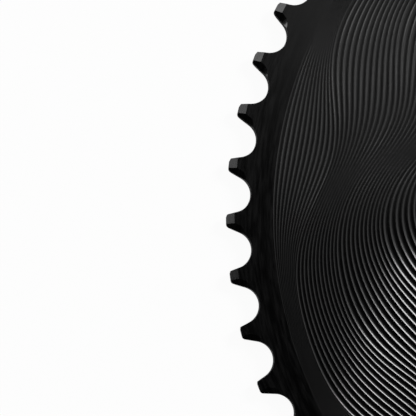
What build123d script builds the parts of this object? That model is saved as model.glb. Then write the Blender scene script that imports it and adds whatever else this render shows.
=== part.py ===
from build123d import *
import math
import os

# Chain and teeth. Flank angles are measured from the radius through the middle of a gap.
chain_pitch = 12.7
tooth_count = 52
roller_seat_radius = 4.27
drive_flank_angle = 16.7
slack_flank_angle = 27.2
tip_above_pitch = 1.25
slack_corner_drop = 0.4
slack_corner_run = 0.4
tooth_thickness = 2.1

# Bevels of the teeth: a flat at each tip, front and back, and a facet on the front of each slack flank.
tip_bevel_length = 1.75
tip_bevel_depth = 0.5
back_bevel_length = 1.1
back_bevel_depth = 0.4
facet_width = 1.6
facet_depth = 1.0
facet_start_below_pitch = 3.0
facet_run_out_angle = 40.0

# Plate. Its front is flush with the teeth, and its back meets them over a cone.
plate_thickness = 3.6
back_radius = 97.4
back_cone_width = 2.6

# Hub: a plain land with a round lobe at each chainring bolt.
bolt_circle_diameter = 110.0
bolt_count = 5
bolt_hole_diameter = 10.1
bolt_lobe_diameter = 17.0
bolt_hole_to_opening = 4.95
hub_land_radius = 59.4

# Relief: key curves wave about mean radii, from the rim inwards. Grooves and ridges take turns between them.
key_mean_radius = (95.8, 88.7, 77.5, 64.9, 50.5)
key_wave_height = (0.0, 4.5, 5.0, 5.5, 5.5)
key_crest_flattening = (0.0, 1.0, 0.7, 0.0, 0.0)
first_crest_angle = 199.7
crest_lead_per_key = 7.6
wave_count = 7
wave_drift = 0.063
lines_per_band = (2, 3, 3, 2)
ridge_flank_slope = 0.11
relief_pocket_depth = 1.4
curve_points_per_wave = 8

# Room that a cutting solid has past the faces that it cuts
cut_margin = 2.0

pitch_radius = chain_pitch / (2.0 * math.sin(math.pi / tooth_count))
tip_radius = pitch_radius + tip_above_pitch
tooth_step = 360.0 / tooth_count
tooth_back = plate_thickness - tooth_thickness
hub_opening_diameter = bolt_circle_diameter - bolt_hole_diameter - 2.0 * bolt_hole_to_opening
relief_rim_radius = key_mean_radius[0]
pocket_floor = plate_thickness - relief_pocket_depth


def flank_seat_point(angle):
    """Where a flank that leans by angle leaves the roller seat, as (along, out) from the pitch point."""
    lean = math.radians(angle)
    return roller_seat_radius * math.cos(lean), -roller_seat_radius * math.sin(lean)


def flank_tip_point(angle):
    """Where a flank that leans by angle reaches the tip circle, as (along, out) from the pitch point."""
    lean = math.radians(angle)
    along, out = flank_seat_point(angle)
    reach = pitch_radius + out
    half = along * math.sin(lean) + reach * math.cos(lean)
    run = math.sqrt(half * half + tip_radius * tip_radius - along * along - reach * reach) - half
    return along + run * math.sin(lean), out + run * math.cos(lean)


def at_gap(gap, along, out):
    """A point of the ring's plane, from a gap's own frame."""
    turn = math.radians(gap * tooth_step)
    reach = pitch_radius + out
    return Vector(
        reach * math.cos(turn) - along * math.sin(turn),
        reach * math.sin(turn) + along * math.cos(turn),
    )


def toothed_outline():
    """The closed outline of all the teeth, with a roller seat on the X axis."""
    drive_seat = flank_seat_point(drive_flank_angle)
    slack_seat = flank_seat_point(slack_flank_angle)
    drive_tip = flank_tip_point(drive_flank_angle)
    slack_tip = flank_tip_point(slack_flank_angle)
    edges = []
    for gap in range(tooth_count):
        slack_low = at_gap(gap, -slack_seat[0], slack_seat[1])
        root = at_gap(gap, 0.0, -roller_seat_radius)
        drive_low = at_gap(gap, drive_seat[0], drive_seat[1])
        drive_corner = at_gap(gap, drive_tip[0], drive_tip[1])
        slack_corner = at_gap(gap + 1, -slack_tip[0], slack_tip[1])
        next_low = at_gap(gap + 1, -slack_seat[0], slack_seat[1])
        land = (slack_corner - drive_corner).normalized()
        land_end = slack_corner - land * slack_corner_run
        slack_top = slack_corner + (next_low - slack_corner).normalized() * slack_corner_drop
        edges += [
            ThreePointArc(slack_low, root, drive_low),
            Line(drive_low, drive_corner),
            Line(drive_corner, land_end),
            Line(land_end, slack_top),
            Line(slack_top, next_low),
        ]
    return Wire(edges)


def ring_of(corners):
    """A solid of revolution about Z from (radius, height) corners."""
    profile = Polyline(*[(radius, 0.0, height) for radius, height in corners], close=True)
    return revolve(make_face(profile), Axis.Z)


def toothed_plate():
    """The plate with its teeth, before their bevels, with the cone behind the teeth."""
    teeth = extrude(Pos(0, 0, tooth_back) * make_face(toothed_outline()), tooth_thickness)
    cone_top = back_radius + back_cone_width
    back = ring_of([(0, 0), (back_radius, 0), (cone_top, tooth_back), (0, tooth_back)])
    return teeth + back


def cut_above(plane):
    """A block on the upper side of a plane, large enough for one tooth and clear of the next."""
    return plane * Pos(0, 0, chain_pitch / 2.0) * Box(chain_pitch, chain_pitch, chain_pitch)


def tip_bevel(length, depth, height, facing):
    """The block that bevels the tip after the gap on the X axis, on the front (facing 1) or the back (-1)."""
    drive_along, drive_out = flank_tip_point(drive_flank_angle)
    slack_along, slack_out = flank_tip_point(slack_flank_angle)
    outward = (at_gap(0, drive_along, drive_out) + at_gap(1, -slack_along, slack_out)).normalized()
    up = Vector(0, 0, 1)
    bevel = Plane(
        origin=outward * (tip_radius - length) + up * height,
        x_dir=up.cross(outward),
        z_dir=outward * depth + up * (facing * length),
    )
    return cut_above(bevel)


def slack_flank_facet():
    """The block that cuts the facet on the slack flank beside the gap on the X axis.

    It lies above a plane along the flank and above a plane that runs out near the root.
    """
    lean = math.radians(slack_flank_angle)
    seat_along, seat_out = flank_seat_point(slack_flank_angle)
    below_seat = (seat_out + facet_start_below_pitch) * math.tan(lean)
    start = at_gap(0, below_seat - seat_along, -facet_start_below_pitch)
    flank = Plane(
        origin=(start.X, start.Y, plate_thickness),
        x_dir=(math.cos(lean), -math.sin(lean), 0),
        z_dir=(0, 0, 1),
    )
    facet = Plane(
        origin=flank.from_local_coords((0, -facet_width, 0)),
        x_dir=flank.x_dir,
        z_dir=flank.y_dir * facet_depth + flank.z_dir * facet_width,
    )
    slope = math.radians(facet_run_out_angle)
    run_out = Plane(
        origin=flank.origin,
        x_dir=flank.y_dir,
        z_dir=flank.x_dir * math.sin(slope) + flank.z_dir * math.cos(slope),
    )
    return cut_above(facet) & cut_above(run_out)


def toothed_ring():
    """The plate with bevelled teeth."""
    cuts = [
        tip_bevel(tip_bevel_length, tip_bevel_depth, plate_thickness, 1),
        tip_bevel(back_bevel_length, back_bevel_depth, tooth_back, -1),
        slack_flank_facet(),
    ]
    turns = [tooth_step * tooth for tooth in range(tooth_count)]
    return toothed_plate() - [cut.rotate(Axis.Z, turn) for cut in cuts for turn in turns]


def flow_radius(key, angle):
    """The radius of a key curve at an angle in radians."""
    crest = math.radians(first_crest_angle - crest_lead_per_key * (key - 1))
    turn = angle + wave_drift * math.sin(angle)
    crest_turn = crest + wave_drift * math.sin(crest)
    phase = wave_count * (turn - crest_turn)
    wave = key_wave_height[key] * math.cos(phase)
    return key_mean_radius[key] + wave - key_crest_flattening[key] * math.cos(2.0 * phase)


def flow_line(band, step, is_groove):
    """A closed line between two key curves, a whole number of steps in from the outer one."""
    count = wave_count * curve_points_per_wave
    points = []
    for index in range(count):
        angle = 2.0 * math.pi * index / count
        outer = flow_radius(band, angle)
        spacing = (outer - flow_radius(band + 1, angle)) / lines_per_band[band]
        radius = outer - step * spacing
        height = plate_thickness - (ridge_flank_slope * spacing if is_groove else 0.0)
        points.append((radius * math.cos(angle), radius * math.sin(angle), height))
    return Wire([Spline(points, periodic=True)])


def circle_at(radius, height):
    """A closed circle about Z."""
    return Wire([Edge.make_circle(radius, Plane.XY.offset(height))])


def relief_disc():
    """The disc that fills the pocket, with grooves and ridges that flow round its face."""
    sections = [circle_at(relief_rim_radius, pocket_floor), circle_at(relief_rim_radius, plate_thickness)]
    is_groove = True
    for band, lines in enumerate(lines_per_band):
        for step in range(1, lines + 1):
            sections.append(flow_line(band, step, is_groove))
            is_groove = not is_groove
    return Solid.make_loft(sections, ruled=True)


def bolt_circles(diameter):
    """A circle round each bolt, in the plane of the ring's back."""
    return PolarLocations(bolt_circle_diameter / 2.0, bolt_count) * Circle(diameter / 2.0)


def hub_land():
    """The plain land round the opening, with a lobe at each bolt."""
    outline = Circle(hub_land_radius) + bolt_circles(bolt_lobe_diameter)
    return extrude(Pos(0, 0, pocket_floor) * outline, relief_pocket_depth)


def hub_cuts():
    """The opening and the bolt holes, through the whole plate."""
    outline = Circle(hub_opening_diameter / 2.0) + bolt_circles(bolt_hole_diameter)
    return extrude(Pos(0, 0, -cut_margin) * outline, plate_thickness + 2.0 * cut_margin)


def chainring():
    """The whole ring as one solid."""
    pocket = extrude(Pos(0, 0, pocket_floor) * Circle(relief_rim_radius), relief_pocket_depth + cut_margin)
    return toothed_ring() - pocket + relief_disc() + hub_land() - hub_cuts()


def main():
    os.makedirs("parts", exist_ok=True)
    ring = chainring()
    export_step(ring.solid(), "parts/chainring.step")


main()
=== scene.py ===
import logging
import math
from collections.abc import Callable, Sequence
from dataclasses import dataclass
from enum import Enum

import bmesh
import bpy
import numpy as np
from mathutils import Matrix, Quaternion, Vector


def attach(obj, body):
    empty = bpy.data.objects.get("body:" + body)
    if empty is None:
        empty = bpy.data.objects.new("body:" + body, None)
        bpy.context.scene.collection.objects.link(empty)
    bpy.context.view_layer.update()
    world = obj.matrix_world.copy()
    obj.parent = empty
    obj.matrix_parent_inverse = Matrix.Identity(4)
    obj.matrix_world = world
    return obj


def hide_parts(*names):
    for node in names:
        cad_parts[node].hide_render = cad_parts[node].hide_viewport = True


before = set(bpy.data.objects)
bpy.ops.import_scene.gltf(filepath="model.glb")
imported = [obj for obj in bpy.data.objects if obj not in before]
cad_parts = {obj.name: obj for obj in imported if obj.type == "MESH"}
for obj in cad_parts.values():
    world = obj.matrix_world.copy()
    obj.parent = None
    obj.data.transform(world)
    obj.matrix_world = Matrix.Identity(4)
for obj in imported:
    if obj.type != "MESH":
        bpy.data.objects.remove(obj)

log = logging.getLogger("chainring")

MM = 0.001
BODY = "root"
NODE = "chainring"
PICTURE_SIDE = 416
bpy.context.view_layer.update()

FULL_TURN = 2.0 * math.pi
QUARTER_TURN = math.pi / 2.0
CENTRE = Vector((0.0, 0.0, 0.0))
UP = Vector((0.0, 0.0, 1.0))
PICTURE_UP = Vector((0.0, 1.0, 0.0))
WHITE = (1.0, 1.0, 1.0, 1.0)
SAME_PLACE = 0.01 * MM
SAME_PLANE = 0.001 * MM
NOISE_MIDDLE = 0.5
MIX_FIRST, MIX_SECOND, MIX_RESULT = 6, 7, 2


class TipSide(Enum):
    """The two sides of a tooth that its tip is bevelled on."""

    FRONT = 1
    BACK = -1


class Finish(Enum):
    """The finishes of the ring, by their materials' names and in the order of their slots."""

    FACE = "black_anodised_face"
    WALL = "black_anodised_wall"


@dataclass(frozen=True)
class PlateSizes:
    """Sizes of the plate that the teeth, the face and the hub share, in millimetres."""

    thickness: float = 3.6
    face_radius: float = 95.8
    back_radius: float = 97.4
    back_cone_width: float = 2.6
    joint_radius: float = 64.5
    joint_height: float = 1.0
    merge_distance: float = 0.0005


@dataclass(frozen=True)
class ToothSizes:
    """Sizes of the chain teeth, in millimetres and degrees, with tilts as the height of a unit normal."""

    chain_pitch: float = 12.7
    count: int = 52
    seat_radius: float = 4.27
    drive_flank_angle: float = 16.7
    slack_flank_angle: float = 27.2
    tip_above_pitch: float = 1.25
    drive_corner_drop: float = 0.25
    drive_corner_run: float = 0.55
    slack_corner_radius: float = 0.8
    thickness: float = 2.1
    front_bevel_length: float = 1.75
    front_bevel_depth: float = 0.55
    back_bevel_length: float = 1.1
    back_bevel_depth: float = 0.4
    facet_width: float = 1.35
    facet_depth: float = 0.9
    facet_length: float = 2.95
    facet_wheel_radius: float = 5.0
    run_out_start: float = 13.0
    run_out_end: float = 45.0
    facet_steps: int = 8
    facet_margin: float = 3.0
    seat_steps: int = 9
    corner_steps: int = 4
    rim_steps: int = 6
    inner_side_height: float = 1.0
    flat_least_angle: float = 10.0
    flat_tilts: tuple[float, float] = (0.5, 0.99)
    front_tilt: float = 0.6
    wall_tilt: float = 0.2
    smooth_angle: float = 12.0
    merge_distance: float = 0.002

    @property
    def step(self) -> float:
        """The angle from one tooth gap to the next, in radians."""
        return FULL_TURN / self.count

    @property
    def pitch_radius(self) -> float:
        """The radius of the circle that the chain's pins lie on."""
        return self.chain_pitch / (2.0 * math.sin(math.pi / self.count))

    @property
    def tip_radius(self) -> float:
        """The radius of the tooth tips."""
        return self.pitch_radius + self.tip_above_pitch

    @property
    def root_radius(self) -> float:
        """The radius at the bottom of a roller seat."""
        return self.pitch_radius - self.seat_radius


@dataclass(frozen=True)
class FlowSizes:
    """Sizes of the machined lines that flow round the face, in millimetres and degrees."""

    mean_radius: tuple[float, ...] = (95.8, 88.7, 77.5, 64.9, 50.5)
    wave_height: tuple[float, ...] = (0.0, 4.5, 5.0, 5.5, 5.5)
    crest_flattening: tuple[float, ...] = (0.0, 1.0, 0.7, 0.0, 0.0)
    first_crest_angle: float = 199.7
    crest_lead: float = 7.6
    wave_count: int = 7
    wave_drift: float = 0.063
    grooves_per_band: int = 11
    last_band_grooves: int = 9
    usual_spacing: float = 0.65
    least_spacing: float = 0.05
    ridge_slope: float = 0.3
    slope_growth: float = 0.35
    band_steepness: tuple[float, ...] = (1.08, 1.0, 1.0, 1.0)
    groove_shares: tuple[float, ...] = (0.0, 0.1, 0.28, 0.5, 0.72, 0.9)
    merge_distance: float = 0.0002


@dataclass(frozen=True)
class HubSizes:
    """Sizes of the plain hub, in millimetres and degrees."""

    land_radius: float = 59.4
    opening_radius: float = 45.0
    bolt_circle_radius: float = 55.0
    bolt_count: int = 5
    hole_radius: float = 5.05
    lobe_radius: float = 8.5
    edge_bevel: float = 0.25
    outline_steps: int = 720
    hole_segments: int = 64
    cut_margin: float = 1.0
    overlap: float = 0.9
    face_sink: float = 0.4
    smooth_angle: float = 15.0
    merge_distance: float = 0.001

    @property
    def bolt_step(self) -> float:
        """The angle from one bolt to the next, in radians."""
        return FULL_TURN / self.bolt_count

    def outline(self, angle: np.ndarray) -> np.ndarray:
        """How far out the land and its lobes reach.

        Args:
            angle: Angles in radians.

        Returns:
            The radius at each angle.
        """
        from_bolt = (angle + self.bolt_step / 2.0) % self.bolt_step - self.bolt_step / 2.0
        aside = self.bolt_circle_radius * np.sin(from_bolt)
        reach = np.sqrt(np.maximum(self.lobe_radius**2 - aside**2, 0.0))
        lobe = np.where(reach > 0.0, self.bolt_circle_radius * np.cos(from_bolt) + reach, 0.0)
        return np.maximum(lobe, self.land_radius)

    def outline_angles(self) -> np.ndarray:
        """Angles all round the land, with one at each corner between the land and a lobe.

        Returns:
            The angles in radians, from 0 to a full turn.
        """
        bolts = np.arange(self.bolt_count) * self.bolt_step
        square = self.bolt_circle_radius**2 + self.land_radius**2 - self.lobe_radius**2
        corner = math.acos(square / (2.0 * self.bolt_circle_radius * self.land_radius))
        even = np.linspace(0.0, FULL_TURN, self.outline_steps + 1)
        return np.sort(np.concatenate([even, bolts + corner, (bolts - corner) % FULL_TURN]))


@dataclass(frozen=True)
class AnodisedBlack:
    """The black anodised finish of the ring's faces, with lengths in millimetres."""

    name: str = Finish.FACE.value
    colour: tuple[float, float, float] = (0.0008, 0.0008, 0.0009)
    refraction: float = 1.45
    rim_roughness: float = 0.2
    rim_blend: float = 0.1
    face_roughness: float = 0.2
    mottle_roughness: float = 0.05
    mottle_scale: float = 900.0
    mottle_detail: float = 3.0
    grain_scale: float = 6000.0
    grain_detail: float = 2.0
    grain_height: float = 0.0004
    streak_colour: tuple[float, float, float] = (0.0045, 0.0045, 0.0046)
    streak_range: tuple[float, float] = (0.35, 0.7)
    streak_length: float = 5.0
    streak_width: float = 0.6
    streak_detail: float = 3.0
    streak_roughness: float = 0.16
    streak_height: float = 0.005
    stripe_radius: float = 98.2
    stripe_width: float = 0.9
    stripe_roughness: float = 0.012


@dataclass(frozen=True)
class CutWall:
    """The dull black finish of the walls that were cut between the teeth."""

    name: str = Finish.WALL.value
    colour: tuple[float, float, float] = (0.004, 0.004, 0.0042)
    roughness: float = 0.7
    shine: float = 0.1


@dataclass(frozen=True)
class WhiteFloor:
    """The pale floor that the ring lies on, with lengths in millimetres."""

    name: str = "white_floor"
    colour: tuple[float, float, float] = (0.9, 0.9, 0.9)
    roughness: float = 0.9
    glow_share: float = 0.95
    side: float = 4000.0
    drop: float = 0.02


@dataclass(frozen=True)
class SoftBox:
    """A rectangular studio lamp, placed as it is seen from the ring, in degrees and millimetres."""

    name: str
    compass: float
    height_angle: float
    width: float
    length: float
    radiance: float
    distance: float = 1500.0


@dataclass(frozen=True)
class PhotoCamera:
    """The camera, placed in the ring's frame, in millimetres and degrees."""

    place: tuple[float, float, float] = (-142.77, -42.02, 339.0)
    aim: tuple[float, float, float] = (-110.63, -3.6, 3.6)
    roll: float = 2.682
    focal_pixels: float = 1500.0
    sensor: float = 36.0
    nearest: float = 10.0


LAMPS = (
    SoftBox("key", compass=37.0, height_angle=38.5, width=325.0, length=480.0, radiance=27.5),
    SoftBox("left_fill", compass=126.0, height_angle=50.0, width=420.0, length=560.0, radiance=4.0),
    SoftBox("side_fill", compass=164.0, height_angle=55.0, width=600.0, length=400.0, radiance=2.4),
    SoftBox("low_fill", compass=160.0, height_angle=18.0, width=430.0, length=700.0, radiance=6.0),
    SoftBox("right_fill", compass=10.0, height_angle=42.0, width=900.0, length=900.0, radiance=0.85),
    SoftBox("back_fill", compass=66.0, height_angle=50.0, width=700.0, length=280.0, radiance=0.75),
    SoftBox("top", compass=45.0, height_angle=68.0, width=420.0, length=300.0, radiance=0.66),
    SoftBox("high_fill", compass=112.0, height_angle=72.0, width=420.0, length=300.0, radiance=0.42),
)


class Value:
    """A shader socket that takes part in sums, and adds a Math node for each."""

    def __init__(self, paint: "Paint", socket: bpy.types.NodeSocket) -> None:
        """Wraps a socket.

        Args:
            paint: The material that the socket is in.
            socket: An output socket that gives a number.
        """
        self.paint = paint
        self.socket = socket

    def _sum(self, operation: str, first: "Value | float", second: "Value | float") -> "Value":
        """Adds a Math node with two inputs and returns its result."""
        node = self.paint.node("ShaderNodeMath", {"operation": operation}, {0: first, 1: second})
        return Value(self.paint, node.outputs[0])

    def __add__(self, other: "Value | float") -> "Value":
        """Returns self plus other."""
        return self._sum("ADD", self, other)

    def __radd__(self, other: float) -> "Value":
        """Returns other plus self."""
        return self._sum("ADD", other, self)

    def __sub__(self, other: "Value | float") -> "Value":
        """Returns self minus other."""
        return self._sum("SUBTRACT", self, other)

    def __rsub__(self, other: float) -> "Value":
        """Returns other minus self."""
        return self._sum("SUBTRACT", other, self)

    def __mul__(self, other: "Value | float") -> "Value":
        """Returns self times other."""
        return self._sum("MULTIPLY", self, other)

    def __rmul__(self, other: float) -> "Value":
        """Returns other times self."""
        return self._sum("MULTIPLY", other, self)

    def __truediv__(self, other: "Value | float") -> "Value":
        """Returns self over other."""
        return self._sum("DIVIDE", self, other)

    def __rtruediv__(self, other: float) -> "Value":
        """Returns other over self."""
        return self._sum("DIVIDE", other, self)

    def __pow__(self, other: "Value | float") -> "Value":
        """Returns self to the power of other."""
        return self._sum("POWER", self, other)

    def __rpow__(self, other: float) -> "Value":
        """Returns other to the power of self."""
        return self._sum("POWER", other, self)

    def maximum(self, other: "Value | float") -> "Value":
        """Returns the larger of self and other."""
        return self._sum("MAXIMUM", self, other)

    def ramp(self, low: float, high: float) -> "Value":
        """Returns a smooth step that is 0 below low and 1 above high.

        Args:
            low: Where the step starts.
            high: Where the step ends.

        Returns:
            The step's value.
        """
        settings = {"interpolation_type": "SMOOTHSTEP"}
        node = self.paint.node("ShaderNodeMapRange", settings, {0: self, 1: low, 2: high})
        return Value(self.paint, node.outputs[0])


class Paint:
    """A material that is being built from nodes."""

    def __init__(self, name: str) -> None:
        """Makes an empty material.

        Args:
            name: The material's name.
        """
        self.material = bpy.data.materials.new(name)
        self.material.use_nodes = True
        self.tree = self.material.node_tree
        self.tree.nodes.clear()

    def node(
        self, kind: str, settings: dict[str, object], inputs: dict[int | str, object]
    ) -> bpy.types.Node:
        """Adds a node.

        Args:
            kind: The node's type.
            settings: The node's own settings, set before its sockets.
            inputs: What each input socket gets: a value, a socket or a Value.

        Returns:
            The new node.
        """
        node = self.tree.nodes.new(kind)
        for key, value in settings.items():
            setattr(node, key, value)
        for key, value in inputs.items():
            if isinstance(value, Value):
                self.tree.links.new(value.socket, node.inputs[key])
            elif isinstance(value, bpy.types.NodeSocket):
                self.tree.links.new(value, node.inputs[key])
            else:
                node.inputs[key].default_value = value
        return node

    def noise(self, place: bpy.types.NodeSocket, scale: float, detail: float) -> Value:
        """Adds a noise texture.

        Args:
            place: The coordinates that it reads.
            scale: How many of its spots fit in a unit of them.
            detail: How many finer layers it has.

        Returns:
            The noise's value, from 0 to 1.
        """
        node = self.node("ShaderNodeTexNoise", {}, {"Vector": place, "Scale": scale, "Detail": detail})
        return Value(self, node.outputs["Fac"])

    def finish(self, shader: bpy.types.NodeSocket) -> bpy.types.Material:
        """Links a shader to the material's output and returns the material."""
        self.node("ShaderNodeOutputMaterial", {}, {"Surface": shader})
        return self.material


class Bench:
    """A new mesh that is modelled in edit mode from a single point."""

    def __init__(self, name: str, start: Vector) -> None:
        """Adds the mesh and leaves its one point selected in edit mode.

        Args:
            name: The piece's name.
            start: Where the point is, in metres.
        """
        bpy.ops.object.select_all(action="DESELECT")
        bpy.ops.mesh.primitive_plane_add(size=MM)
        self.piece = bpy.context.object
        self.piece.name = self.piece.data.name = name
        bpy.ops.object.mode_set(mode="EDIT")
        bpy.ops.mesh.select_mode(type="VERT")
        bpy.ops.mesh.select_all(action="SELECT")
        bpy.ops.mesh.merge(type="CENTER")
        bpy.ops.transform.translate(value=start)
        self.pen = Vector(start)

    def draw(self, points: Sequence[Vector]) -> None:
        """Extrudes the selected point along a row of points.

        Args:
            points: The points, in metres, in order.
        """
        for point in points:
            extrude(point - self.pen)
            self.pen = Vector(point)

    def pick(self, wanted: Callable[[Vector], bool]) -> None:
        """Selects the points that pass a test, and the edges and faces between them.

        Args:
            wanted: Says of a place in metres whether it is selected.
        """
        shape = bmesh.from_edit_mesh(self.piece.data)
        for face in shape.faces:
            face.select = False
        for edge in shape.edges:
            edge.select = False
        for vert in shape.verts:
            vert.select = wanted(vert.co)
        shape.select_flush(True)
        bmesh.update_edit_mesh(self.piece.data)

    def pick_faces(self, wanted: Callable[[bmesh.types.BMFace], bool]) -> None:
        """Selects the faces that pass a test.

        Args:
            wanted: Says of a face whether it is selected.
        """
        bpy.ops.mesh.select_all(action="DESELECT")
        shape = bmesh.from_edit_mesh(self.piece.data)
        for face in shape.faces:
            if wanted(face):
                face.select_set(True)
        bmesh.update_edit_mesh(self.piece.data)

    def close(self) -> bpy.types.Object:
        """Leaves edit mode and returns the piece."""
        bpy.ops.object.mode_set(mode="OBJECT")
        return self.piece


def extrude(move: Vector) -> None:
    """Extrudes what is selected in edit mode, by a move in metres."""
    bpy.ops.mesh.extrude_region_move(TRANSFORM_OT_translate={"value": move})


def face_outwards() -> None:
    """Turns all the faces in edit mode outwards."""
    bpy.ops.mesh.select_all(action="SELECT")
    bpy.ops.mesh.normals_make_consistent(inside=False)


def weld(distance: float) -> None:
    """Merges the doubles in edit mode and turns the faces outwards.

    Args:
        distance: How far apart doubles may lie, in millimetres.
    """
    bpy.ops.mesh.select_all(action="SELECT")
    bpy.ops.mesh.remove_doubles(threshold=distance * MM)
    face_outwards()


def copy_round(count: int) -> None:
    """Copies all that is in edit mode evenly round the ring's axis.

    Args:
        count: How many there are in the end.
    """
    bpy.ops.mesh.select_all(action="SELECT")
    turn = FULL_TURN / count * (count - 1)
    bpy.ops.mesh.spin(steps=count - 1, dupli=True, angle=turn, center=CENTRE, axis=UP)


def on_ring(radius: float, angle: float, height: float) -> Vector:
    """A place in the ring's frame.

    Args:
        radius: Distance from the axis in millimetres.
        angle: Angle from +X in radians.
        height: Height above the back in millimetres.

    Returns:
        The place in metres.
    """
    return Vector((radius * math.cos(angle), radius * math.sin(angle), height)) * MM


def ring_grid(name: str, angle: np.ndarray, radii: np.ndarray, heights: np.ndarray) -> bpy.types.Object:
    """Adds a grid and shapes it into rows of points round the ring.

    Args:
        name: The piece's name.
        angle: The angle of each column of points in radians, from 0 to a full turn.
        radii: The radius of each point in millimetres, by row and column.
        heights: The height of each point in millimetres, by row and column.

    Returns:
        The piece, with doubles where the last column meets the first.
    """
    bpy.ops.object.select_all(action="DESELECT")
    bpy.ops.mesh.primitive_grid_add(
        x_subdivisions=len(angle) - 1, y_subdivisions=len(radii) - 1, size=MM
    )
    piece = bpy.context.object
    piece.name = piece.data.name = name
    places = np.stack([radii * np.cos(angle), radii * np.sin(angle), heights], axis=-1) * MM
    piece.data.vertices.foreach_set("co", places.astype(np.float32).ravel())
    return piece


def cut_away(piece: bpy.types.Object, cutter: bpy.types.Object) -> None:
    """Cuts a solid out of a piece and removes the solid.

    Args:
        piece: The piece that is cut.
        cutter: The solid.
    """
    bpy.ops.object.select_all(action="DESELECT")
    piece.select_set(True)
    bpy.context.view_layer.objects.active = piece
    modifier = piece.modifiers.new("cut", "BOOLEAN")
    modifier.operation = "DIFFERENCE"
    modifier.solver = "EXACT"
    modifier.object = cutter
    bpy.ops.object.modifier_apply(modifier=modifier.name)
    bpy.data.objects.remove(cutter)


@dataclass(frozen=True)
class ToothRing:
    """The rim with its teeth: one tooth is modelled, and copied round the ring."""

    teeth: ToothSizes
    plate: PlateSizes

    def in_gap(self, gap: int, along: float, out: float) -> Vector:
        """A place in the ring's plane, in millimetres, from a gap's own frame.

        Args:
            gap: The gap's number, counted from +X.
            along: Distance along the rim from the gap's middle.
            out: Distance out from the pitch circle.

        Returns:
            The place, with no height.
        """
        turn = gap * self.teeth.step
        reach = self.teeth.pitch_radius + out
        x = reach * math.cos(turn) - along * math.sin(turn)
        y = reach * math.sin(turn) + along * math.cos(turn)
        return Vector((x, y, 0.0))

    def on_seat(self, gap: int, turn: float) -> Vector:
        """A place on a roller seat, in millimetres.

        Args:
            gap: The gap's number, counted from +X.
            turn: Angle from the bottom of the seat in radians, positive towards the next gap.

        Returns:
            The place, with no height.
        """
        radius = self.teeth.seat_radius
        return self.in_gap(gap, radius * math.sin(turn), -radius * math.cos(turn))

    def flank_ends(self, lean: float) -> tuple[float, float, float, float]:
        """Where a flank leaves the roller seat and where it meets the tip circle.

        Args:
            lean: The flank's angle from the gap's middle line, in radians.

        Returns:
            Along and out at the seat, then along and out at the tip.
        """
        teeth = self.teeth
        along = teeth.seat_radius * math.cos(lean)
        out = -teeth.seat_radius * math.sin(lean)
        reach = teeth.pitch_radius + out
        half = along * math.sin(lean) + reach * math.cos(lean)
        run = math.sqrt(half * half + teeth.tip_radius**2 - along * along - reach * reach) - half
        return along, out, along + run * math.sin(lean), out + run * math.cos(lean)

    def outline(self) -> list[Vector]:
        """The tooth's outline from the middle of gap 0 to the middle of gap 1, in millimetres.

        Returns:
            The outline's points in order.
        """
        teeth = self.teeth
        steps = teeth.seat_steps
        drive = math.radians(teeth.drive_flank_angle)
        slack = math.radians(teeth.slack_flank_angle)
        _, _, drive_along, drive_out = self.flank_ends(drive)
        seat_along, seat_out, slack_along, slack_out = self.flank_ends(slack)
        drive_corner = self.in_gap(0, drive_along, drive_out)
        slack_corner = self.in_gap(1, -slack_along, slack_out)
        slack_seat = self.in_gap(1, -seat_along, seat_out)
        land = (slack_corner - drive_corner).normalized()
        points = [self.on_seat(0, (QUARTER_TURN - drive) * step / steps) for step in range(steps + 1)]
        points.append(drive_corner + (points[-1] - drive_corner).normalized() * teeth.drive_corner_drop)
        points.append(drive_corner + land * teeth.drive_corner_run)
        points += self.rounded_corner(slack_corner, -land, (slack_seat - slack_corner).normalized())
        for step in range(steps + 1):
            points.append(self.on_seat(1, (slack - QUARTER_TURN) * (1.0 - step / steps)))
        return points

    def rounded_corner(self, corner: Vector, back: Vector, onward: Vector) -> list[Vector]:
        """The arc that rounds the slack corner of a tip.

        Args:
            corner: The sharp corner.
            back: Direction from the corner back along the tip.
            onward: Direction from the corner down the flank.

        Returns:
            The arc's points in order.
        """
        radius = self.teeth.slack_corner_radius
        half = back.angle(onward) / 2.0
        centre = corner + (back + onward).normalized() * (radius / math.sin(half))
        start = corner + back * (radius / math.tan(half)) - centre
        turn = math.pi - 2.0 * half
        steps = self.teeth.corner_steps
        return [centre + Quaternion(UP, turn * step / steps) @ start for step in range(steps + 1)]

    def sector(self) -> Bench:
        """Models one tooth with its part of the rim and of the back, as a closed block.

        Returns:
            The bench, in edit mode.
        """
        teeth, plate = self.teeth, self.plate
        top, low = plate.thickness, plate.thickness - teeth.thickness
        line = [(point + UP * top) * MM for point in self.outline()]
        bench = Bench("tooth", line[0])
        bench.draw(line[1:])
        bpy.ops.mesh.select_all(action="SELECT")
        extrude(UP * (-teeth.thickness * MM))
        cone_radius = plate.back_radius + plate.back_cone_width
        for height, radius in ((top, plate.face_radius), (low, cone_radius)):
            self.fill_to_arc(bench, height, radius)
        self.draw_back(bench, cone_radius, low)
        self.close_sides(bench)
        return bench

    def fill_to_arc(self, bench: Bench, height: float, radius: float) -> None:
        """Fills a face between the tooth's outline and an arc of the rim.

        Args:
            bench: The tooth.
            height: The face's height in millimetres.
            radius: The arc's radius in millimetres.
        """
        teeth = self.teeth
        first = on_ring(teeth.root_radius, 0.0, height)
        last = on_ring(teeth.root_radius, teeth.step, height)
        bench.pick(lambda co: (co - last).length < SAME_PLACE)
        bench.pen = last
        steps = teeth.rim_steps
        turns = [teeth.step * (steps - step) / steps for step in range(steps + 1)]
        bench.draw([on_ring(radius, turn, height) for turn in turns])
        end = bench.pen
        bench.pick(lambda co: min((co - first).length, (co - end).length) < SAME_PLACE)
        bpy.ops.mesh.edge_face_add()
        least = radius * MM - SAME_PLACE
        bench.pick(lambda co: abs(co.z - height * MM) < SAME_PLANE and co.xy.length > least)
        bpy.ops.mesh.edge_face_add()

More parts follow.
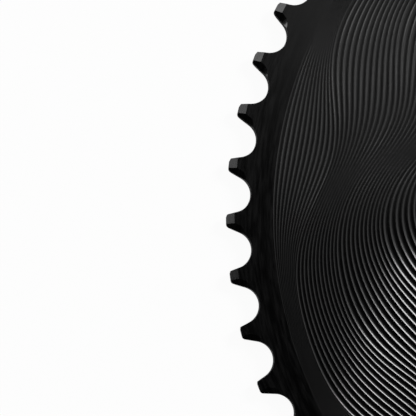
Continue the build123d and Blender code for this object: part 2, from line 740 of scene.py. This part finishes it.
    def draw_back(self, bench: Bench, cone_radius: float, low: float) -> None:
        """Draws the cone behind the teeth and the flat back, down to the hub.

        Args:
            bench: The tooth.
            cone_radius: Where the cone meets the teeth, in millimetres.
            low: The height of the teeth's back, in millimetres.
        """
        plate = self.plate
        highest, widest = low * MM + SAME_PLACE, cone_radius * MM + SAME_PLACE
        bench.pick(lambda co: co.z < highest and co.xy.length < widest)
        before = cone_radius
        for radius, drop in ((plate.back_radius, low), (plate.joint_radius, 0.0)):
            extrude(UP * (-drop * MM))
            share = radius / before
            bpy.ops.transform.resize(value=(share, share, 1.0), center_override=CENTRE)
            before = radius

    def far_side(self) -> Vector:
        """The direction square to the block's radial side at gap 1."""
        return on_ring(1.0, self.teeth.step + QUARTER_TURN, 0.0).normalized()

    def close_sides(self, bench: Bench) -> None:
        """Closes the block's two radial sides and its inner side, so that it can be cut.

        Args:
            bench: The tooth.
        """
        bench.pick(lambda co: abs(co.y) < SAME_PLANE)
        bpy.ops.mesh.edge_face_add()
        side = self.far_side()
        bench.pick(lambda co: abs(co.dot(side)) < SAME_PLANE)
        bpy.ops.mesh.edge_face_add()
        shape = bmesh.from_edit_mesh(bench.piece.data)
        for edge in shape.edges:
            edge.select_set(edge.is_boundary)
        bmesh.update_edit_mesh(bench.piece.data)
        bpy.ops.mesh.fill_holes(sides=0)
        face_outwards()

    def bevel_tip(self, bench: Bench, side: TipSide) -> None:
        """Cuts a flat across the tip.

        Args:
            bench: The tooth.
            side: The side of the tooth that is cut.
        """
        teeth, plate = self.teeth, self.plate
        furthest = max(self.outline(), key=lambda point: point.length).normalized()
        middle = on_ring(1.0, teeth.step / 2.0, 0.0).normalized()
        outward = (furthest + middle).normalized()
        if side is TipSide.FRONT:
            length, depth = teeth.front_bevel_length, teeth.front_bevel_depth
            height = plate.thickness
        else:
            length, depth = teeth.back_bevel_length, teeth.back_bevel_depth
            height = plate.thickness - teeth.thickness
        start = outward * (teeth.tip_radius - length) + UP * height
        bpy.ops.mesh.select_all(action="SELECT")
        bpy.ops.mesh.bisect(
            plane_co=start * MM,
            plane_no=(outward * depth + UP * (side.value * length)).normalized(),
            use_fill=True,
            clear_outer=True,
        )

    def facet_cutter(self) -> bpy.types.Object:
        """The track of the wheel that grinds the facet on the slack flank of the tooth.

        Returns:
            A block with a flat bottom, which rises in an arc where the wheel was lifted.
        """
        teeth = self.teeth
        slack = math.radians(teeth.slack_flank_angle)
        seat_along, seat_out, tip_along, tip_out = self.flank_ends(slack)
        tip = self.in_gap(1, -tip_along, tip_out)
        down = (self.in_gap(1, -seat_along, seat_out) - tip).normalized()
        inward = UP.cross(down)
        across = (inward * teeth.facet_width + UP * teeth.facet_depth).normalized()
        upward = down.cross(across)
        edge = tip + UP * (self.plate.thickness - teeth.facet_depth)
        wheel, margin = teeth.facet_wheel_radius, teeth.facet_margin
        start, end = math.radians(teeth.run_out_start), math.radians(teeth.run_out_end)
        track = [(-margin, margin), (-margin, 0.0)]
        for step in range(teeth.facet_steps + 1):
            turn = start + (end - start) * step / teeth.facet_steps
            run = teeth.facet_length + wheel * (math.sin(turn) - math.sin(start))
            track.append((run, wheel * (math.cos(start) - math.cos(turn))))
        track.append((track[-1][0], margin))
        line = [(edge - across * margin + down * run + upward * rise) * MM for run, rise in track]
        bench = Bench("facet_track", line[0])
        bench.draw(line[1:])
        bpy.ops.mesh.select_all(action="SELECT")
        bpy.ops.mesh.edge_face_add()
        extrude(across * (2.0 * margin * MM))
        face_outwards()
        return bench.close()

    def open_sides(self, bench: Bench) -> None:
        """Takes the block's sides away again, so that its copies join.

        Args:
            bench: The tooth.
        """
        side = self.far_side()
        inner = self.plate.face_radius * MM + SAME_PLACE
        tall = self.teeth.inner_side_height * MM

        def is_side(block_face: bmesh.types.BMFace) -> bool:
            """Finds the faces of the sides.

            Args:
                block_face: A face of the block.

            Returns:
                Whether it lies on a radial side or on the inner side.
            """
            corners = [vert.co for vert in block_face.verts]
            heights = [co.z for co in corners]
            return (
                all(abs(co.y) < SAME_PLANE for co in corners)
                or all(abs(co.dot(side)) < SAME_PLANE for co in corners)
                or (all(co.xy.length < inner for co in corners) and max(heights) - min(heights) > tall)
            )

        bench.pick_faces(is_side)
        bpy.ops.mesh.delete(type="FACE")

    def mark_flats(self, bench: Bench) -> None:
        """Keeps the edges sharp where the tip's flat and the facet leave the front.

        Args:
            bench: The tooth.
        """
        teeth = self.teeth
        steep, level = teeth.flat_tilts
        shape = bmesh.from_edit_mesh(bench.piece.data)
        shape.normal_update()
        for edge in shape.edges:
            tilts = sorted(face.normal.z for face in edge.link_faces)
            if len(tilts) == 2 and steep < tilts[0] < level and tilts[1] > teeth.front_tilt:
                if edge.calc_face_angle() > math.radians(teeth.flat_least_angle):
                    edge.smooth = False
        bmesh.update_edit_mesh(bench.piece.data)

    def mark_walls(self, bench: Bench) -> None:
        """Gives the cut walls of the teeth their own finish.

        Args:
            bench: The rim.
        """
        for finish in Finish:
            bench.piece.data.materials.append(bpy.data.materials[finish.value])
        bench.piece.active_material_index = list(Finish).index(Finish.WALL)
        bench.pick_faces(lambda face: abs(face.normal.z) < self.teeth.wall_tilt)
        bpy.ops.object.material_slot_assign()

    def build(self) -> bpy.types.Object:
        """Models a tooth, cuts its bevels and its facet, and copies it round the ring.

        Returns:
            The rim with all its teeth, open towards the face and the hub.
        """
        teeth = self.teeth
        bench = self.sector()
        for side in TipSide:
            self.bevel_tip(bench, side)
        tooth = bench.close()
        cut_away(tooth, self.facet_cutter())
        bpy.ops.object.mode_set(mode="EDIT")
        self.open_sides(bench)
        self.mark_flats(bench)
        copy_round(teeth.count)
        weld(teeth.merge_distance)
        self.mark_walls(bench)
        bench.close()
        bpy.ops.object.shade_smooth_by_angle(angle=math.radians(teeth.smooth_angle))
        return tooth


@dataclass(frozen=True)
class FlowFace:
    """The face between the rim, whose points it shares, and the hub, whose land covers its inner edge."""

    flow: FlowSizes
    plate: PlateSizes
    teeth: ToothSizes
    hub: HubSizes

    def key_radius(self, key: int, angle: np.ndarray) -> np.ndarray:
        """The radius of a key curve, between which the lines are spread evenly.

        Args:
            key: The key curve's number, from the rim inwards.
            angle: Angles in radians.

        Returns:
            The radius at each angle, in millimetres.
        """
        flow = self.flow
        crest = math.radians(flow.first_crest_angle - flow.crest_lead * (key - 1))
        turn = angle + flow.wave_drift * np.sin(angle)
        crest_turn = crest + flow.wave_drift * math.sin(crest)
        phase = flow.wave_count * (turn - crest_turn)
        wave = flow.wave_height[key] * np.cos(phase)
        return flow.mean_radius[key] + wave - flow.crest_flattening[key] * np.cos(2.0 * phase)

    def rows(self, angle: np.ndarray) -> tuple[np.ndarray, np.ndarray, list[int]]:
        """The radius and height of each row of the face, from the rim to the hub.

        Args:
            angle: The angles of the columns, in radians.

        Returns:
            Radii and heights in millimetres, by row and column, and the numbers of the sharp rows.
        """
        flow, plate, hub = self.flow, self.plate, self.hub
        radii, heights, sharp = [], [], []
        bands = len(flow.mean_radius) - 1
        for band in range(bands):
            outer = self.key_radius(band, angle)
            spacing = (outer - self.key_radius(band + 1, angle)) / flow.grooves_per_band
            relative = np.maximum(spacing, flow.least_spacing) / flow.usual_spacing
            slope = flow.ridge_slope * flow.band_steepness[band] * relative**flow.slope_growth
            grooves = flow.last_band_grooves if band == bands - 1 else flow.grooves_per_band
            for groove in range(grooves):
                sharp.append(len(radii))
                for share in flow.groove_shares:
                    radii.append(outer - (groove + share) * spacing)
                    heights.append(plate.thickness - slope * spacing * share * (1.0 - share))
        edge = hub.outline(angle) - hub.overlap
        sunk = plate.thickness - hub.face_sink
        heights = [np.where(radius > edge, height, sunk) for radius, height in zip(radii, heights)]
        radii = [np.maximum(radius, edge) for radius in radii]
        joint = np.full_like(angle, plate.joint_radius)
        for radius, height in ((edge, plate.joint_height), (joint, plate.joint_height), (joint, 0.0)):
            sharp.append(len(radii))
            radii.append(radius)
            heights.append(np.full_like(angle, height))
        return np.array(radii), np.array(heights), sharp

    def build(self) -> bpy.types.Object:
        """Shapes a grid into the face and closes it round the ring.

        Returns:
            The face, open at the rim and at the back.
        """
        columns = self.teeth.count * self.teeth.rim_steps
        angle = np.linspace(0.0, FULL_TURN, columns + 1)
        radii, heights, sharp = self.rows(angle)
        face = ring_grid("flow_face", angle, radii, heights)
        face.data.materials.append(bpy.data.materials[Finish.FACE.value])
        bpy.ops.object.shade_smooth()
        ends = np.empty(len(face.data.edges) * 2, dtype=np.int32)
        face.data.edges.foreach_get("vertices", ends)
        row = ends.reshape(-1, 2) // (columns + 1)
        layers = face.data.attributes
        marks = layers.get("sharp_edge") or layers.new("sharp_edge", "BOOLEAN", "EDGE")
        marks.data.foreach_set("value", (row[:, 0] == row[:, 1]) & np.isin(row[:, 0], sharp))
        bpy.ops.object.mode_set(mode="EDIT")
        weld(self.flow.merge_distance)
        bpy.ops.object.mode_set(mode="OBJECT")
        return face


@dataclass(frozen=True)
class ToothedPlate:
    """The ring's plate: the toothed rim and the lined face in one mesh."""

    teeth: ToothSizes
    flow: FlowSizes
    plate: PlateSizes
    hub: HubSizes

    def build(self) -> bpy.types.Object:
        """Joins the rim and the face into one closed piece.

        Returns:
            The plate.
        """
        rim = ToothRing(self.teeth, self.plate).build()
        face = FlowFace(self.flow, self.plate, self.teeth, self.hub).build()
        bpy.ops.object.select_all(action="DESELECT")
        rim.select_set(True)
        face.select_set(True)
        bpy.context.view_layer.objects.active = rim
        bpy.ops.object.join()
        rim.name = rim.data.name = "toothed_plate"
        bpy.ops.object.mode_set(mode="EDIT")
        weld(self.plate.merge_distance)
        self.mark_border(rim)
        bpy.ops.object.mode_set(mode="OBJECT")
        return rim

    def mark_border(self, rim: bpy.types.Object) -> None:
        """Keeps the border between the rim and the face sharp.

        Args:
            rim: The joined piece, in edit mode.
        """
        border = self.plate.face_radius * MM
        front = self.plate.thickness * MM - SAME_PLACE
        shape = bmesh.from_edit_mesh(rim.data)
        for edge in shape.edges:
            ends = [vert.co for vert in edge.verts]
            if all(co.z > front and abs(co.xy.length - border) < SAME_PLACE for co in ends):
                edge.smooth = False
        bmesh.update_edit_mesh(rim.data)


@dataclass(frozen=True)
class HubLand:
    """The plain land round the opening, with a lobe and a hole for each chainring bolt."""

    hub: HubSizes
    plate: PlateSizes

    def body(self) -> bpy.types.Object:
        """Shapes a grid into the land, with bevelled edges, and closes it round the ring.

        Returns:
            The land without its holes.
        """
        hub, plate = self.hub, self.plate
        angle = hub.outline_angles()
        outline, bevel = hub.outline(angle), hub.edge_bevel
        opening = np.full_like(angle, hub.opening_radius)
        joint = np.full_like(angle, plate.joint_radius)
        section = (
            (opening + bevel, plate.thickness),
            (outline - bevel, plate.thickness),
            (outline, plate.thickness - bevel),
            (outline, plate.joint_height),
            (joint, plate.joint_height),
            (joint, 0.0),
            (opening + bevel, 0.0),
            (opening, bevel),
            (opening, plate.thickness - bevel),
            (opening + bevel, plate.thickness),
        )
        radii = np.array([radius for radius, _ in section])
        heights = np.array([np.full_like(angle, height) for _, height in section])
        land = ring_grid("hub_land", angle, radii, heights)
        bpy.ops.object.mode_set(mode="EDIT")
        weld(hub.merge_distance)
        bpy.ops.object.mode_set(mode="OBJECT")
        return land

    def bolt_cutter(self) -> bpy.types.Object:
        """Turns a spool that cuts a bolt hole with bevelled ends, and copies it to each bolt.

        Returns:
            The spools.
        """
        hub, plate = self.hub, self.plate
        middle = on_ring(hub.bolt_circle_radius, 0.0, 0.0)
        flare = hub.hole_radius + hub.edge_bevel + hub.cut_margin
        low, high = -hub.cut_margin, plate.thickness + hub.cut_margin
        profile = (
            (0.0, low),
            (flare, low),
            (hub.hole_radius, hub.edge_bevel),
            (hub.hole_radius, plate.thickness - hub.edge_bevel),
            (flare, high),
            (0.0, high),
        )
        half_side = math.pi / hub.hole_segments
        line = [middle + on_ring(radius, half_side, height) for radius, height in profile]
        bench = Bench("bolt_spools", line[0])
        bench.draw(line[1:])
        bpy.ops.mesh.select_all(action="SELECT")
        bpy.ops.mesh.spin(steps=hub.hole_segments, angle=FULL_TURN, center=middle, axis=UP)
        weld(hub.merge_distance)
        copy_round(hub.bolt_count)
        face_outwards()
        return bench.close()

    def build(self) -> bpy.types.Object:
        """Models the land and cuts its bolt holes.

        Returns:
            The land.
        """
        land = self.body()
        cut_away(land, self.bolt_cutter())
        bpy.ops.object.shade_smooth_by_angle(angle=math.radians(self.hub.smooth_angle))
        return land


def anodised_material(finish: AnodisedBlack, plate: PlateSizes) -> bpy.types.Material:
    """The black anodised finish, with a fine grain all over and streaks along the rim.

    Args:
        finish: The finish's values.
        plate: Sizes of the plate, for where the rim starts.

    Returns:
        The material.
    """
    paint = Paint(finish.name)
    place = paint.node("ShaderNodeTexCoord", {}, {}).outputs["Object"]
    apart = paint.node("ShaderNodeSeparateXYZ", {}, {"Vector": place})
    x, y = Value(paint, apart.outputs["X"]), Value(paint, apart.outputs["Y"])
    reach = (x * x + y * y) ** 0.5
    along = plate.face_radius / finish.streak_length
    polar = paint.node(
        "ShaderNodeCombineXYZ",
        {},
        {"X": x / reach * along, "Y": y / reach * along, "Z": reach / (finish.streak_width * MM)},
    )
    mottle = paint.noise(place, finish.mottle_scale, finish.mottle_detail)
    grain = paint.noise(place, finish.grain_scale, finish.grain_detail)
    streak = paint.noise(polar.outputs[0], 1.0, finish.streak_detail)
    border, blend, width = plate.face_radius, finish.rim_blend, finish.stripe_width
    rim = reach.ramp((border - blend) * MM, (border + blend) * MM)
    from_stripe = reach / MM + (mottle - NOISE_MIDDLE) * width - finish.stripe_radius
    stripe = from_stripe.ramp(-width, 0.0) * (1.0 - from_stripe.ramp(0.0, width))
    roughness = (
        rim * finish.rim_roughness
        + (1.0 - rim) * finish.face_roughness
        + (mottle - NOISE_MIDDLE) * finish.mottle_roughness
        + rim * (streak - NOISE_MIDDLE) * finish.streak_roughness
        - stripe * finish.stripe_roughness
    )
    share = rim * streak.ramp(*finish.streak_range) * (1.0 - stripe)
    tone = paint.node(
        "ShaderNodeMix",
        {"data_type": "RGBA"},
        {0: share, MIX_FIRST: (*finish.colour, 1.0), MIX_SECOND: (*finish.streak_colour, 1.0)},
    )
    height = grain * finish.grain_height + rim * streak * finish.streak_height
    bump = paint.node("ShaderNodeBump", {}, {"Strength": 1.0, "Distance": MM, "Height": height})
    shader = paint.node(
        "ShaderNodeBsdfPrincipled",
        {},
        {
            "Base Color": tone.outputs[MIX_RESULT],
            "Roughness": roughness,
            "IOR": finish.refraction,
            "Normal": bump.outputs["Normal"],
        },
    )
    return paint.finish(shader.outputs["BSDF"])


def wall_material(finish: CutWall) -> bpy.types.Material:
    """The dull black finish of cut walls.

    Args:
        finish: The finish's values.

    Returns:
        The material.
    """
    paint = Paint(finish.name)
    shader = paint.node(
        "ShaderNodeBsdfPrincipled",
        {},
        {
            "Base Color": (*finish.colour, 1.0),
            "Roughness": finish.roughness,
            "Specular IOR Level": finish.shine,
        },
    )
    return paint.finish(shader.outputs["BSDF"])


def floor_material(finish: WhiteFloor) -> bpy.types.Material:
    """The white floor, which glows for what sees it and still takes a faint shadow.

    Args:
        finish: The floor's values.

    Returns:
        The material.
    """
    paint = Paint(finish.name)
    path = paint.node("ShaderNodeLightPath", {}, {})
    seen = Value(paint, path.outputs["Is Camera Ray"])
    seen = seen.maximum(Value(paint, path.outputs["Is Glossy Ray"]))
    seen = seen.maximum(Value(paint, path.outputs["Is Transmission Ray"]))
    ground = paint.node(
        "ShaderNodeBsdfPrincipled", {}, {"Base Color": (*finish.colour, 1.0), "Roughness": finish.roughness}
    )
    glow = paint.node("ShaderNodeEmission", {}, {"Color": WHITE, "Strength": 1.0})
    mix = paint.node(
        "ShaderNodeMixShader",
        {},
        {0: seen * finish.glow_share, 1: ground.outputs["BSDF"], 2: glow.outputs["Emission"]},
    )
    return paint.finish(mix.outputs["Shader"])


@dataclass(frozen=True)
class Studio:
    """The floor, the lamps, the camera and the world, whose even brightness is its sky."""

    floor: WhiteFloor
    lamps: Sequence[SoftBox]
    camera: PhotoCamera
    sky: float = 0.005

    def lay_floor(self) -> None:
        """Lays the floor just under the ring's back."""
        bpy.ops.object.select_all(action="DESELECT")
        bpy.ops.mesh.primitive_plane_add(size=self.floor.side * MM)
        floor = bpy.context.object
        floor.name = "floor"
        floor.data.transform(Matrix.Translation((0.0, 0.0, -self.floor.drop * MM)))
        floor.data.materials.append(floor_material(self.floor))

    def hang_lamp(self, box: SoftBox) -> None:
        """Hangs one lamp, turned to the ring's visible side.

        Args:
            box: The lamp.
        """
        data = bpy.data.lights.new(box.name, "AREA")
        data.shape = "RECTANGLE"
        data.size = box.width * MM
        data.size_y = box.length * MM
        data.energy = box.radiance * math.pi * box.width * box.length * MM * MM
        lamp = bpy.data.objects.new(box.name, data)
        bpy.context.scene.collection.objects.link(lamp)
        compass, height = math.radians(box.compass), math.radians(box.height_angle)
        level = math.cos(height)
        away = Vector((math.cos(compass) * level, math.sin(compass) * level, math.sin(height)))
        aim = Vector(self.camera.aim) * MM
        lamp.location = aim + away * box.distance * MM
        lamp.rotation_euler = away.to_track_quat("Z", "Y").to_euler()

    def light_world(self) -> None:
        """Gives the world its even brightness."""
        world = bpy.data.worlds.new("studio")
        world.use_nodes = True
        background = world.node_tree.nodes["Background"]
        background.inputs["Color"].default_value = WHITE
        background.inputs["Strength"].default_value = self.sky
        bpy.context.scene.world = world

    def stand_camera(self) -> None:
        """Stands the camera where the photograph was taken from."""
        shot = self.camera
        data = bpy.data.cameras.new("camera")
        data.sensor_width = shot.sensor
        data.lens = shot.focal_pixels * shot.sensor / PICTURE_SIDE
        data.clip_start = shot.nearest * MM
        camera = bpy.data.objects.new("camera", data)
        bpy.context.scene.collection.objects.link(camera)
        place, aim = Vector(shot.place) * MM, Vector(shot.aim) * MM
        back = (place - aim).normalized()
        up = (PICTURE_UP - back * back.y).normalized()
        right = up.cross(back)
        turn = Matrix((right, up, back)).transposed().to_4x4()
        roll = Matrix.Rotation(math.radians(shot.roll), 4, "Z")
        camera.matrix_world = Matrix.Translation(place) @ turn @ roll
        bpy.context.scene.camera = camera

    def build(self) -> None:
        """Sets the whole studio up."""
        self.lay_floor()
        for box in self.lamps:
            self.hang_lamp(box)
        self.light_world()
        self.stand_camera()
        bpy.context.scene.view_settings.view_transform = "Standard"


def wear(piece: bpy.types.Object) -> None:
    """Dresses a piece and fixes it to the ring's body.

    Args:
        piece: The piece.
    """
    if not piece.data.materials:
        piece.data.materials.append(bpy.data.materials[Finish.FACE.value])
    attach(piece, BODY)
    log.info("%s: %d points, %d faces", piece.name, len(piece.data.vertices), len(piece.data.polygons))


def main() -> None:
    """Builds the ring and its studio."""
    logging.basicConfig(level=logging.INFO, format="%(name)s %(message)s")
    plate, teeth, hub = PlateSizes(), ToothSizes(), HubSizes()
    anodised_material(AnodisedBlack(), plate)
    wall_material(CutWall())
    disc = ToothedPlate(teeth, FlowSizes(), plate, hub).build()
    land = HubLand(hub, plate).build()
    for piece in (disc, land):
        wear(piece)
    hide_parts(NODE)
    Studio(WhiteFloor(), LAMPS, PhotoCamera()).build()


if __name__ == "__main__":
    main()
